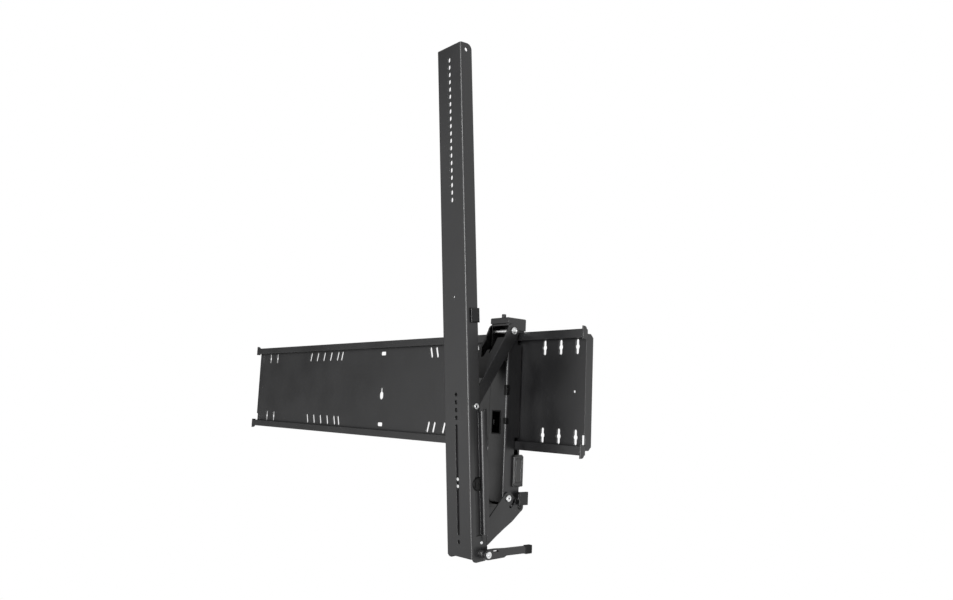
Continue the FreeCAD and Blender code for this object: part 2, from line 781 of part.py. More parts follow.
def hanger_bracket():
    """A channel with its web towards the room, long flanges back to the rails and a tail web."""
    flange = side_plate(hanger_outline(), hanger_inner, hanger_outer)
    fold_zone = box(hanger_inner - 1, hanger_outer + 1, hanger_front - 1, hanger_front + hanger_bend_reach,
                    hanger_web_foot, hanger_web_top)
    flange = flange.cut(fold_zone)
    front = channel(2 * hanger_outer, hanger_bend_reach, hanger_web_top - hanger_web_foot,
                    hanger_sheet, hanger_bend)
    front.translate(V(0, hanger_front, hanger_web_foot))
    tail = box(-hanger_outer, hanger_outer, hanger_mid_rear - hanger_sheet, hanger_mid_rear,
               tail_web_foot, tail_web_top)
    body = joined(both_sides(flange) + [front, tail])
    holes = [hanger_corner_zone(length, z, seat_gap) for z, length in clip_places]
    yl, zl = upper_pivot
    holes.append(cross_rod(yl, zl, pin_diameter / 2 + pin_gap, -hanger_outer - 1, hanger_outer + 1))
    yl, zl = lower_pivot
    holes.append(cross_rod(yl, zl, pin_diameter / 2 + pin_gap, -hanger_outer - 1, hanger_outer + 1))
    yl, zl = stop_place()
    holes.append(cross_rod(yl, zl, stop_pin_diameter / 2 + pin_gap, -hanger_outer - 1, hanger_outer + 1))
    holes.append(box(window_left, window_right, hanger_front - 1, hanger_front + hanger_sheet + 1,
                     window_low, window_high))
    for x in (-guide_slot_x, guide_slot_x):
        holes.append(rod((x, hanger_mid_rear - hanger_sheet - 1, guide_pin_z), (0, 1, 0),
                         guide_pin_diameter / 2 + pin_gap, hanger_sheet + 2))
    holes.append(rod((0, hanger_mid_rear - hanger_sheet - 1, spring_pin_z), (0, 1, 0),
                     guide_pin_diameter / 2 + pin_gap, hanger_sheet + 2))
    return at_arm(cut(body, holes))


def top_cap():
    """The plate over the hanger's head, with short skirts inside its side plates."""
    top = top_cap_height
    low = top - top_cap_sheet
    lip_rear = hanger_front - seat_gap
    front = lip_rear - top_cap_sheet
    roof = box(-hanger_outer, hanger_outer, front, hanger_head_rear, low, top)
    lip = box(-hanger_outer, hanger_outer, front, lip_rear, top - top_cap_lip, top)
    roof = roof.fuse(lip).removeSplitter()
    roof = round_edges(roof, top_cap_bend, lambda m, e: m.z > top - 0.01)
    skirt = box(hanger_inner - seat_gap - top_cap_sheet, hanger_inner - seat_gap,
                hanger_front + 3, hanger_rail_rear, low - top_cap_skirt, low)
    body = joined([roof] + both_sides(skirt))
    hole = rod((0, screw_y, low - 1), (0, 0, 1), screw_diameter / 2 + pin_gap, top_cap_sheet + 2)
    return at_arm(body.cut(hole))


def link_pin(pivot):
    """A headed pin across the hanger and both link plates, with a clip head on the far side."""
    y, z = pivot
    half = link_outer + face_gap
    reach = half + pin_head_thickness
    shank = cross_rod(y, z, pin_diameter / 2, -reach, reach)
    heads = both_sides(cross_rod(y, z, pin_head_diameter / 2, half, reach))
    body = joined([shank] + heads)
    rim = round_edges(body, 0.8, lambda m, e: abs(m.x) > reach - 0.01)
    return at_arm(rim)


def pivot_washers():
    washers = []
    for y, z in (upper_pivot, lower_pivot):
        right = washer(y, z, pin_diameter / 2 + pin_gap, washer_diameter / 2,
                       hanger_outer, hanger_outer + washer_thickness)
        washers += [at_arm(piece) for piece in both_sides(right)]
    return washers


def edge_clips():
    """Black clips set into notches of the right fold, the upper one with a round boss."""
    clips = []
    for k, (z, length) in enumerate(clip_places):
        x1 = hanger_outer + clip_proud
        y0 = hanger_front - clip_proud
        outer = box(hanger_outer - clip_reach, x1, y0, hanger_front + clip_reach,
                    z - length / 2, z + length / 2)
        outer = round_edges(outer, clip_proud, lambda m, e: abs(m.x - x1) < 0.01 and abs(m.y - y0) < 0.01)
        inner = box(hanger_outer - clip_reach - 1, x1 - clip_wall, y0 + clip_wall,
                    hanger_front + clip_reach + 1, z - length, z + length)
        clip = outer.cut(inner)
        if k == 0:
            boss = cross_rod(hanger_front + clip_reach / 2, z, clip_boss_diameter / 2,
                             x1 - 0.5, x1 + clip_boss_height)
            clip = joined([clip, boss])
        clips.append(at_arm(clip))
    return clips


def window_liner():
    """A plastic frame set into the window of the front web."""
    y0 = hanger_front - liner_lip
    y1 = hanger_front + liner_depth
    outer = box(window_left + seat_gap, window_right - seat_gap, y0, y1,
                window_low + seat_gap, window_high - seat_gap)
    wall = window_frame + seat_gap
    inner = box(window_left + wall, window_right - wall, y0 - 1, y1 + 1,
                window_low + wall, window_high - wall)
    return at_arm(outer.cut(inner))


def latch_cover():
    """The black plastic body on the right side plate, with chamfered corners."""
    c = cover_corner
    f = cover_foot_corner
    outline = [(cover_front + f, cover_low), (cover_rear - f, cover_low), (cover_rear, cover_low + f),
               (cover_rear, cover_high - c), (cover_rear - c, cover_high), (cover_front + c, cover_high),
               (cover_front, cover_high - c), (cover_front, cover_low + f)]
    x1 = hanger_outer + cover_thickness
    plate = side_plate(outline, hanger_outer, x1)
    return at_arm(round_edges(plate, 1.2, lambda m, e: m.x > x1 - 0.01))


def latch_screws():
    """Shoulder screws from the hanger's lower web into the slider's slots."""
    front = hanger_mid_rear - hanger_sheet
    rear = slider_rear + face_gap
    screws = []
    for x, z in ((-guide_slot_x, guide_pin_z), (guide_slot_x, guide_pin_z), (0, spring_pin_z)):
        start = (x, front - latch_screw_head, z)
        head = rod(start, (0, 1, 0), guide_pin_diameter, latch_screw_head - seat_gap)
        shank = rod(start, (0, 1, 0), guide_pin_diameter / 2, rear - front + latch_screw_head)
        tail = rod((x, rear, z), (0, 1, 0), guide_pin_diameter - 0.5, latch_screw_tail)
        screws.append(at_arm(joined([head, shank, tail])))
    return screws


def tilt_stop_pin():
    y, z = stop_place()
    reach = link_outer
    return at_arm(cross_rod(y, z, stop_pin_diameter / 2, -reach, reach))


# Hook on the top rail
def hook_carriage():
    half = hanger_inner - hook_width_gap
    gap = face_gap
    top = plate_half_height + gap
    front = rail_front - gap - hook_sheet
    back = plate_back + gap + hook_sheet
    front_leg = box(-half, half, front, front + hook_sheet, hook_front_foot, hook_shelf_high)
    rear_leg = box(-half, half, back - hook_sheet, back, hook_rear_foot, hook_shelf_high)
    bridge = box(-half, half, front, back, top, top + hook_sheet)
    shelf = box(-half, half, screw_y - screw_diameter, back, hook_shelf_low, hook_shelf_high)
    return at_arm(joined([front_leg, rear_leg, bridge, shelf]))


def carriage_glides():
    """Thin plastic strips on the sides of the hook, against the hanger's side plates."""
    x0 = hanger_inner - hook_width_gap
    x1 = hanger_inner - face_gap
    back = rail_front - face_gap
    strip = box(x0, x1, back - hook_sheet, back, hook_front_foot, hook_shelf_high)
    return [at_arm(piece) for piece in both_sides(strip)]


def height_screw():
    foot = hook_shelf_high + face_gap
    body = rod((0, screw_y, foot), (0, 0, 1), screw_diameter / 2, screw_top - foot)
    body = round_edges(body, 0.7, lambda m, e: m.z > screw_top - 0.01)
    across = screw_socket / 2 / math.cos(math.pi / 6)
    corners = [V(across * math.cos(math.pi / 3 * k), screw_y + across * math.sin(math.pi / 3 * k),
                 screw_top - screw_socket_depth) for k in range(6)]
    socket = Part.Face(Part.makePolygon(corners + corners[:1])).extrude(V(0, 0, screw_socket_depth + 1))
    return at_arm(body.cut(socket))


# Latch under the bottom rail
def latch_slider():
    half = slider_width / 2
    body = box(-half, half, slider_front, slider_rear, slider_foot, slider_top)
    nose = box(-half, half, nose_front, slider_rear, slider_top, nose_top)
    nose = round_edges(nose, 2.0, lambda m, e: m.z > nose_top - 0.01 and m.y < nose_front + 0.01)
    y0 = slider_front - 1
    y1 = slider_rear + 1
    tools = []
    radius = guide_slot_width / 2
    for x in (-guide_slot_x, guide_slot_x):
        low = guide_pin_z - guide_pin_diameter / 2 - face_gap
        high = guide_pin_z + guide_pin_diameter / 2 + latch_travel + face_gap
        tools.append(upright_slot(x, (low + high) / 2, guide_slot_width, high - low, y0, y1))
    low = spring_pin_z - guide_pin_diameter / 2 - face_gap
    high = spring_pin_z + guide_pin_diameter / 2 + spring_length + 2 * face_gap
    tools.append(box(-spring_slot_width / 2, spring_slot_width / 2, y0, y1, low, high))
    return at_arm(cut(joined([body, nose]), tools))


def latch_spring():
    """A compression spring between the lower screw and the top of the slider's slot."""
    low = spring_pin_z + guide_pin_diameter / 2 + face_gap
    radius = (spring_diameter - spring_wire) / 2
    pitch = (spring_length - spring_wire) / spring_turns
    path = Part.makeHelix(pitch, pitch * spring_turns, radius)
    profile = Part.Wire([Part.makeCircle(spring_wire / 2, V(radius, 0, 0), V(0, 1, 0))])
    coil = Part.Wire(path).makePipeShell([profile], True, False)
    coil.translate(V(0, (slider_front + slider_rear) / 2, low + spring_wire / 2))
    return at_arm(coil)


def release_tab():
    """The black pull tab beside the lower link, on a bar behind the side plate."""
    bar = box(-slider_width / 2, tab_outer, tab_bar_front, slider_rear,
              tab_bar_top - tab_bar_height, tab_bar_top)
    tab = box(tab_inner, tab_outer, tab_front, tab_rear, tab_foot, tab_top)
    tab = round_edges(tab, 1.5, lambda m, e: abs(m.z - (tab_top + tab_foot) / 2) < 0.01)
    return at_arm(joined([bar, tab]))


# Kickstand
def kick_side():
    return bracket_lip_out + face_gap


def kickstand_lever():
    yk, zk = kick_pivot
    x0 = kick_side()
    x1 = x0 + kick_thickness
    outline = [(yk, zk + kick_root_radius), (kick_slot[0], kick_root_high), (kick_step_y, kick_high),
               (kick_end, kick_high), (kick_end, kick_low), (kick_step_y, kick_low),
               (kick_step_y - kick_step_run, kick_root_low), (yk, zk - kick_root_radius)]
    body = joined([side_plate(outline, x0, x1), cross_rod(yk, zk, kick_root_radius, x0, x1)])
    ys, zs = kick_slot
    slot = box(x0 - 1, x1 + 1, ys - kick_slot_length / 2, ys + kick_slot_length / 2,
               zs - kick_slot_width / 2, zs + kick_slot_width / 2)
    pin = cross_rod(yk, zk, kick_pin_diameter / 2 + pin_gap, x0 - 1, x1 + 1)
    return at_arm(cut(body, [slot, pin]))


def kickstand_pin():
    """A shouldered rivet through the arm's lug and the lever."""
    yk, zk = kick_pivot
    head_start = kick_side() + kick_thickness + face_gap
    head_end = head_start + kick_head_thickness
    shank = cross_rod(yk, zk, kick_pin_diameter / 2, arm_inner, head_end)
    head = cross_rod(yk, zk, kick_head_diameter / 2, head_start, head_end)
    shoulder = cross_rod(yk, zk, kick_shoulder_diameter / 2, arm_width / 2 + seat_gap, kick_side() - face_gap)
    body = joined([shank, head, shoulder])
    return at_arm(round_edges(body, kick_head_thickness / 2.5, lambda m, e: m.x > head_end - 0.01))


def kickstand_tip():
    """A rubber shoe over the lever's end."""
    x0 = kick_side()
    x1 = x0 + kick_thickness
    shoe = box(x0, x1 + tip_wall, tip_front, tip_rear, kick_low - tip_wall, kick_high + tip_wall)
    outer = x1 + tip_wall
    shoe = round_edges(shoe, tip_wall - 0.2, lambda m, e: m.y > tip_rear - 0.01 or m.x > outer - 0.01)
    pocket = box(x0 - 1, x1, tip_front - 1, kick_end, kick_low, kick_high)
    return at_arm(shoe.cut(pocket))


os.makedirs("parts", exist_ok=True)
save("wall_plate", [wall_plate()])
save("rail_end_caps", rail_end_caps())
save("hook_carriage", [hook_carriage()])
save("carriage_glides", carriage_glides())
save("height_screw", [height_screw()])
save("hanger_bracket", [hanger_bracket()])
save("top_cap", [top_cap()])
save("upper_pivot_pin", [link_pin(upper_pivot)])
save("lower_pivot_pin", [link_pin(lower_pivot)])
save("pivot_washers", pivot_washers())
save("edge_clips", edge_clips())
save("window_liner", [window_liner()])
save("latch_cover", [latch_cover()])
save("latch_screws", latch_screws())
save("tilt_stop_pin", [tilt_stop_pin()])
save("latch_slider", [latch_slider()])
save("latch_spring", [latch_spring()])
save("release_tab", [release_tab()])
save("upper_link", [upper_link()])
save("lower_link", [lower_link()])
save("display_arm", [display_arm()])
save("tilt_bracket", [tilt_bracket()])
save("arm_studs", arm_studs())
save("elbow_pin", [elbow_pin()])
save("lower_elbow_pin", [lower_elbow_pin()])
save("elbow_washers", elbow_washers())
save("arm_clip", [arm_clip()])
save("arm_knob", [arm_knob()])
save("kickstand_pin", [kickstand_pin()])
save("kickstand_lever", [kickstand_lever()])
save("kickstand_tip", [kickstand_tip()])
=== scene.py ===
# %% [markdown]
# A tilting wall mount for a large display: a long pressed steel plate, a hanger bracket hooked
# over its rails, two links and an upright slotted arm. The solid model gives every plate and
# pin its place. This lesson gives them their finish, and adds the small things that a solid
# model leaves out: a screw's thread, rolled pin heads, moulded ribs and pressed rims.

import json
import math

import bmesh
import bpy
import numpy as np
from mathutils import Matrix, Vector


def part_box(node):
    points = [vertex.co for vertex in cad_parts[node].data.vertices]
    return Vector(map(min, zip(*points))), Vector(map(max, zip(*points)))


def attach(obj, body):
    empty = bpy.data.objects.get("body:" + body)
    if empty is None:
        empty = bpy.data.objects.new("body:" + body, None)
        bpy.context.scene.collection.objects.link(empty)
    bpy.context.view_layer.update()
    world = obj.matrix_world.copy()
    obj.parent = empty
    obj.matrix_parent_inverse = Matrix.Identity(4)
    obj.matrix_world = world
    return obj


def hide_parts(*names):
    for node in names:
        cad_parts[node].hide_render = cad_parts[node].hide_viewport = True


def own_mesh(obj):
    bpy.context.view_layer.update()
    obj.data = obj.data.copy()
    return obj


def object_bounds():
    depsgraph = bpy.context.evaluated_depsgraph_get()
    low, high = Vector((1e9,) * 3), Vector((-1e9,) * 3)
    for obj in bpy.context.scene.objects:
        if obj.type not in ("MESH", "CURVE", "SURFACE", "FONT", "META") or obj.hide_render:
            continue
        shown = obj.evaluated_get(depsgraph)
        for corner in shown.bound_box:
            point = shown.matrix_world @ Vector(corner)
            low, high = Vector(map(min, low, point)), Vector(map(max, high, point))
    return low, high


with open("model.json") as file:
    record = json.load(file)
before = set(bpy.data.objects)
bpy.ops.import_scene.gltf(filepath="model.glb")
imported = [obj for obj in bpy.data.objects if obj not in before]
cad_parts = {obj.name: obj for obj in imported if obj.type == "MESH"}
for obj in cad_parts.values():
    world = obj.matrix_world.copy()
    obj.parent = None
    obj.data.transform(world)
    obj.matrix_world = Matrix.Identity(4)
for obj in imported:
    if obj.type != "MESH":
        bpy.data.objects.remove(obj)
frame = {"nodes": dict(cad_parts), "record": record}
cad_box = [[float(c) for c in corner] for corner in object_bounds()]
nodes = frame["nodes"]
print("nodes:", len(nodes), "box in metres:", cad_box)

# %% [markdown]
# The photograph was taken from the right and a little below the middle of the plate. A camera
# is a place, three directions and a lens. Here the directions come from three turns: yaw about
# the upright, pitch up, and roll about the line of sight. The lens is the focal length in
# pixels turned to millimetres on Blender's 36 mm sensor.

# %% Camera
image_width = 953       # pixels
yaw, pitch, roll = (math.radians(a) for a in (48.77, 7.46, 2.39))
focal_pixels = 800.0
sensor_width = 36.0     # millimetres
lens_shift = (-0.0004, 0.0045)
eye = np.array([1.40986, -0.99354, -0.03454])

forward = np.array([-math.sin(yaw) * math.cos(pitch), math.cos(yaw) * math.cos(pitch), math.sin(pitch)])
level = np.array([math.cos(yaw), math.sin(yaw), 0.0])
upward = np.cross(level, forward)
right = level * math.cos(roll) + upward * math.sin(roll)
up = -level * math.sin(roll) + upward * math.cos(roll)

camera_data = bpy.data.cameras.new("camera")
camera_data.lens = focal_pixels / image_width * sensor_width
camera_data.shift_x, camera_data.shift_y = lens_shift
camera_data.clip_start = 0.01
camera_data.clip_end = 50.0
camera = bpy.data.objects.new("camera", camera_data)
bpy.context.scene.collection.objects.link(camera)
columns = np.column_stack([right, up, -forward])
camera.matrix_world = Matrix([[*columns[i], eye[i]] for i in range(3)] + [[0, 0, 0, 1]])
bpy.context.scene.camera = camera
print("lens in millimetres:", round(camera_data.lens, 2))

# %% [markdown]
# The white surroundings, the floor and every finish below are small graphs of nodes. Most of
# their links are the same few moves: join two sockets, stretch a value from one range to
# another, take the larger of two answers, or blend between two. Each move is a helper here.

# %% Node helpers
scene = bpy.context.scene
scene.view_settings.view_transform = "Standard"


def link(tree, start, end):
    tree.links.new(start, end)


def remap(tree, value, low, high, to_low, to_high, ramp="LINEAR"):
    """value, taken from the range low to high, in the range to_low to to_high."""
    node = tree.nodes.new("ShaderNodeMapRange")
    node.interpolation_type = ramp
    link(tree, value, node.inputs["Value"])
    for label, number in (("From Min", low), ("From Max", high), ("To Min", to_low), ("To Max", to_high)):
        node.inputs[label].default_value = number
    return node.outputs["Result"]


def either(tree, first, second):
    """The larger of two outputs, so 1 where one of two yes or no values is 1."""
    node = tree.nodes.new("ShaderNodeMath")
    node.operation = "MAXIMUM"
    link(tree, first, node.inputs[0])
    link(tree, second, node.inputs[1])
    return node.outputs[0]


def blended(tree, factor, first, second):
    """first to second by a factor, each a number or an output."""
    mix = tree.nodes.new("ShaderNodeMix")
    for label, value in (("Factor", factor), ("A", first), ("B", second)):
        if hasattr(value, "is_linked"):
            link(tree, value, mix.inputs[label])
        else:
            mix.inputs[label].default_value = value
    return mix.outputs["Result"]


print("view transform:", scene.view_settings.view_transform)

# %% [markdown]
# A black object on white is lit mostly by what it mirrors. So the world has three strengths: one
# for the camera, which sees pure white, a dim one that lights the surfaces, and one for
# reflections, which grows from the left of the room to the right.

# %% World
world_light = 0.08      # strength that lights the surfaces
mirror_left = 0.22      # strength in reflections, to the left and to the right
mirror_right = 1.20
heading_left = -0.95    # X of the directions between which the strength grows
heading_right = 0.30


def by_ray(tree, lighting, mirrored):
    """A strength of 1 to the camera and through glass, one for mirrored rays, one for the rest."""
    path = tree.nodes.new("ShaderNodeLightPath")
    seen = either(tree, path.outputs["Is Camera Ray"], path.outputs["Is Transmission Ray"])
    reflected = blended(tree, path.outputs["Is Glossy Ray"], lighting, mirrored)
    return blended(tree, seen, reflected, 1.0)


world = bpy.data.worlds.new("white surroundings")
scene.world = world
world.use_nodes = True
sky = world.node_tree
background = sky.nodes["Background"]
background.inputs["Color"].default_value = (1.0, 1.0, 1.0, 1.0)
heading = sky.nodes.new("ShaderNodeTexCoord")
split = sky.nodes.new("ShaderNodeSeparateXYZ")
link(sky, heading.outputs["Generated"], split.inputs["Vector"])
across = split.outputs["X"]
rising = remap(sky, across, heading_left, heading_right, mirror_left, mirror_right, "SMOOTHSTEP")
link(sky, by_ray(sky, world_light, rising), background.inputs["Strength"])
print("world: light", world_light, "mirrored", mirror_left, "to", mirror_right)

# %% [markdown]
# The tall lamp on the left is the bright thing that the front faces mirror. The narrow upright
# lamp in front stands between the camera and straight ahead of the plate. Only the round folds
# mirror it, and it draws their bright lines.

# %% Lamps
def soft_lamp(name, place, aim, width, height, power):
    """An upright rectangle that looks from place to aim: its axes are side, over = away x side, away."""
    data = bpy.data.lights.new(name, "AREA")
    data.shape = "RECTANGLE"
    data.size, data.size_y = width, height
    data.energy = power
    lamp = bpy.data.objects.new(name, data)
    scene.collection.objects.link(lamp)
    away = np.array(place) - np.array(aim)
    away = away / np.linalg.norm(away)
    side = np.cross([0.0, 0.0, 1.0], away)
    side = side / np.linalg.norm(side)
    over = np.cross(away, side)
    turn = np.column_stack([side, over, away])
    lamp.matrix_world = Matrix([[*turn[i], place[i]] for i in range(3)] + [[0, 0, 0, 1]])
    return lamp


soft_lamp("lamp left", (-1.55, -2.3, 0.15), (0.4, -0.1, 0.0), 1.5, 2.3, 10.5)
soft_lamp("lamp in front", (1.52, -2.88, 0.2), (0.4, -0.1, 0.1), 0.40, 2.8, 155.0)
print("lamps:", [lamp.name for lamp in bpy.data.lights])

# %% [markdown]
# The floor is a wide plane well below the part. Light that falls on it meets a pale matt surface
# and is thrown back up, shadow and all. The camera and the reflections see it as glowing white,
# brighter to the right in the reflections, so it never draws an edge behind the object.

# %% Floor
floor_left = 0.75       # the floor's strength in reflections, to the left and to the right
floor_right = 1.45
floor_span = 4.0        # metres over which the floor gets brighter
floor_drop = 0.95       # metres from the part's foot down to the floor
floor_half = 14.0

floor_height = cad_box[0][2] - floor_drop
floor_mesh = bpy.data.meshes.new("floor")
corners = [(x * floor_half, y * floor_half, floor_height) for x, y in ((-1, -1), (1, -1), (1, 1), (-1, 1))]
floor_mesh.from_pydata(corners, [], [(0, 1, 2, 3)])
floor = bpy.data.objects.new("floor", floor_mesh)
scene.collection.objects.link(floor)

floor_paint = bpy.data.materials.new("pale floor")
floor_paint.use_nodes = True
tree = floor_paint.node_tree
surface = tree.nodes["Principled BSDF"]
surface.inputs["Base Color"].default_value = (0.86, 0.86, 0.86, 1.0)
surface.inputs["Roughness"].default_value = 0.9
glow = tree.nodes.new("ShaderNodeEmission")
ground = tree.nodes.new("ShaderNodeSeparateXYZ")
link(tree, tree.nodes.new("ShaderNodeTexCoord").outputs["Object"], ground.inputs["Vector"])
brighter = remap(tree, ground.outputs["X"], 0.0, floor_span, floor_left, floor_right)
link(tree, by_ray(tree, 0.0, brighter), glow.inputs["Strength"])
path = tree.nodes.new("ShaderNodeLightPath")
blend = tree.nodes.new("ShaderNodeMixShader")
link(tree, either(tree, path.outputs["Is Camera Ray"], path.outputs["Is Glossy Ray"]), blend.inputs[0])
link(tree, surface.outputs["BSDF"], blend.inputs[1])
link(tree, glow.outputs["Emission"], blend.inputs[2])
link(tree, blend.outputs["Shader"], tree.nodes["Material Output"].inputs["Surface"])
floor_mesh.materials.append(floor_paint)
print("floor at", round(floor_height, 3))

# %% [markdown]
# Powder coat is black, but not flat: baked powder leaves a fine pebbled skin, slightly uneven
# gloss, and small paler scuffs. Two noise patterns at different sizes do this, one for the
# pebbles and one for the slow changes. Every black finish here needs them, so they are one node
# group with its own inputs, placed in each material with other values.

# %% Shared pattern groups
def new_group(name, inputs, outputs):
    group = bpy.data.node_groups.new(name, "ShaderNodeTree")
    for label, value in inputs:
        socket = group.interface.new_socket(label, in_out="INPUT", socket_type="NodeSocketFloat")
        socket.default_value = value
    for label, kind in outputs:
        group.interface.new_socket(label, in_out="OUTPUT", socket_type=kind)
    return group, group.nodes.new("NodeGroupInput"), group.nodes.new("NodeGroupOutput")


def noise(tree, position, scale, detail):
    node = tree.nodes.new("ShaderNodeTexNoise")
    node.inputs["Detail"].default_value = detail
    link(tree, position, node.inputs["Vector"])
    link(tree, scale, node.inputs["Scale"])
    return node.outputs["Fac"]


# Grain: pebbles from fine noise, patches from coarse noise, both about 0.5 in the middle.
grain, given, made = new_group(
    "pebbled skin",
    [("Pebbles per metre", 1400.0), ("Patches per metre", 14.0)],
    [("Height", "NodeSocketFloat"), ("Patches", "NodeSocketFloat")])
where = grain.nodes.new("ShaderNodeTexCoord").outputs["Object"]
link(grain, noise(grain, where, given.outputs["Pebbles per metre"], 2.0), made.inputs["Height"])
link(grain, noise(grain, where, given.outputs["Patches per metre"], 3.0), made.inputs["Patches"])

# Edge: 1 where the rounded normal turns away from the flat one, so along a fold or rim.
edges, given, made = new_group("edge light", [("Reach", 0.0012)], [("Edge", "NodeSocketFloat"),
                                                                   ("Normal", "NodeSocketVector")])
rounded = edges.nodes.new("ShaderNodeBevel")
rounded.samples = 6
link(edges, given.outputs["Reach"], rounded.inputs["Radius"])
flat = edges.nodes.new("ShaderNodeNewGeometry")
dot = edges.nodes.new("ShaderNodeVectorMath")
dot.operation = "DOT_PRODUCT"
link(edges, rounded.outputs["Normal"], dot.inputs[0])
link(edges, flat.outputs["Normal"], dot.inputs[1])
link(edges, remap(edges, dot.outputs["Value"], 0.99, 0.80, 0.0, 1.0), made.inputs["Edge"])
link(edges, rounded.outputs["Normal"], made.inputs["Normal"])
print("groups:", [g.name for g in bpy.data.node_groups])

# %% [markdown]
# A material is the same recipe for each finish: a base colour that drifts with the patches, a
# roughness that drifts with them too, a bump from the pebbles and a rounded normal at the
# edges. Only the numbers differ between satin paint, plastic and rubber. The photograph has four
# kinds of plastic: the moulded cover, a duller release tab, polished and dead matt clips.

# %% Black finishes
def placed(tree, group, values):
    node = tree.nodes.new("ShaderNodeGroup")
    node.node_tree = group
    for label, value in values.items():
        node.inputs[label].default_value = value
    return node


def mixed_colour(tree, factor, first, second):
    node = tree.nodes.new("ShaderNodeMix")
    node.data_type = "RGBA"
    link(tree, factor, node.inputs["Factor"])
    for socket, colour in ((node.inputs[6], first), (node.inputs[7], second)):
        if hasattr(colour, "is_linked"):
            link(tree, colour, socket)
        else:
            socket.default_value = (*colour, 1.0)
    return node.outputs[2]


def pebble_bump(tree, skin, edge, strength, depth, target):
    """The pebbles as a bump over the rounded normal, joined to the target socket."""
    bump = tree.nodes.new("ShaderNodeBump")
    bump.inputs["Strength"].default_value = strength
    bump.inputs["Distance"].default_value = depth
    link(tree, skin.outputs["Height"], bump.inputs["Height"])
    link(tree, edge.outputs["Normal"], bump.inputs["Normal"])
    link(tree, bump.outputs["Normal"], target)


patches_per_metre = 14.0
pebble_depth = 0.00004


def black_finish(name, dark, pale, edge_wear_and_highlight, rough, gloss, pebbles, reach):
    """A black skin: dark to pale with the patches, a paler edge colour at folds and rims (partly wear,
    partly painted highlight), rough as (low, high).
    """
    material = bpy.data.materials.new(name)
    material.use_nodes = True
    tree = material.node_tree
    surface = tree.nodes["Principled BSDF"]
    surface.inputs["Specular IOR Level"].default_value = gloss
    skin = placed(tree, grain, {"Pebbles per metre": pebbles, "Patches per metre": patches_per_metre})
    edge = placed(tree, edges, {"Reach": reach})
    patches = skin.outputs["Patches"]
    body = mixed_colour(tree, remap(tree, patches, 0.35, 0.65, 0.0, 1.0), dark, pale)
    # Paler colour along folds and rims: partly wear, partly a painted highlight standing in for the folds'
    # bright lines.
    link(tree, mixed_colour(tree, edge.outputs["Edge"], body, edge_wear_and_highlight), surface.inputs["Base Color"])
    link(tree, remap(tree, patches, 0.3, 0.7, *rough), surface.inputs["Roughness"])
    pebble_bump(tree, skin, edge, 0.35, pebble_depth, surface.inputs["Normal"])
    return material


# The third grey of each is the colour at folds and rims, partly wear and partly a painted highlight.
coat_greys = ((0.0028, 0.0028, 0.0032), (0.0045, 0.0045, 0.005), (0.02, 0.02, 0.021))
moulded_greys = ((0.0015,) * 3, (0.003,) * 3, (0.01,) * 3)
clip_greys = ((0.0012,) * 3, (0.0025,) * 3, (0.006,) * 3)
rubber_greys = ((0.006,) * 3, (0.010,) * 3, (0.014,) * 3)
powder_coat = black_finish("powder coated steel", *coat_greys, (0.34, 0.44), 0.55, 1400.0, 0.0012)
moulded_black = black_finish("moulded black plastic", *moulded_greys, (0.28, 0.40), 0.60, 1000.0, 0.0008)
matt_black = black_finish("matt black plastic", *clip_greys, (0.26, 0.36), 0.16, 1000.0, 0.0006)
polished_black = black_finish("polished black plastic", *clip_greys, (0.12, 0.20), 0.26, 700.0, 0.0003)
tab_black = black_finish("tab plastic", *clip_greys, (0.32, 0.44), 0.36, 1000.0, 0.0006)
black_rubber = black_finish("black rubber", *rubber_greys, (0.72, 0.85), 0.25, 2200.0, 0.0008)
print("black finishes:", [m.name for m in bpy.data.materials if m.name != floor_paint.name])

# %% [markdown]
# Zinc plating is bright metal with a cloudy, faintly mottled shine. It is fully metallic, so its
# colour is the colour of its reflections, and the noise goes into roughness more than colour.

# %% Zinc
zinc_grey, zinc_pale = (0.52, 0.53, 0.54), (0.70, 0.70, 0.69)
zinc = bpy.data.materials.new("zinc plate")
zinc.use_nodes = True
tree = zinc.node_tree
surface = tree.nodes["Principled BSDF"]
surface.inputs["Metallic"].default_value = 1.0
skin = placed(tree, grain, {"Pebbles per metre": 1800.0, "Patches per metre": 260.0})
edge = placed(tree, edges, {"Reach": 0.0006})
cloud = remap(tree, skin.outputs["Patches"], 0.35, 0.65, 0.0, 1.0)
link(tree, mixed_colour(tree, cloud, zinc_grey, zinc_pale), surface.inputs["Base Color"])
link(tree, remap(tree, skin.outputs["Patches"], 0.3, 0.7, 0.24, 0.40), surface.inputs["Roughness"])
pebble_bump(tree, skin, edge, 0.2, pebble_depth / 2, surface.inputs["Normal"])
print("zinc:", zinc_grey, "to", zinc_pale)

# %% [markdown]
# Each solid from the model keeps its shape and only changes its material. The table of finishes
# comes from the record's own slots, so no piece is forgotten. A few pieces share a slot with
# others but look different in the photograph, so they have a finish of their own.

# %% Dress the solids
finish_of_slot = {
    "black_steel": powder_coat,
    "zinc": zinc,
    "black_plastic": moulded_black,
    "rubber": black_rubber,
}
own_finish = {
    "edge_clips": matt_black,
    "window_liner": matt_black,
    "release_tab": tab_black,
    "arm_clip": polished_black,
    "arm_knob": matt_black,
}
for entry in frame["record"]["subparts"]:
    mesh_slots = nodes[entry["node"]].material_slots
    for k in range(len(mesh_slots)):
        mesh_slots[k].material = own_finish.get(entry["node"], finish_of_slot[entry["material_slot"]])

# %% [markdown]
# The small pieces are skins over a grid of points, each row a ring. The grid's quads join it up,
# doubled points at poles and seams are merged, and the normals are turned outwards. A piece
# then says which body it rides on and which slot of material it has.

# %% Skins from grids
mm = 0.001
seat = 0.02             # a skin's foot below the face it stands on, in millimetres
made_pieces = []


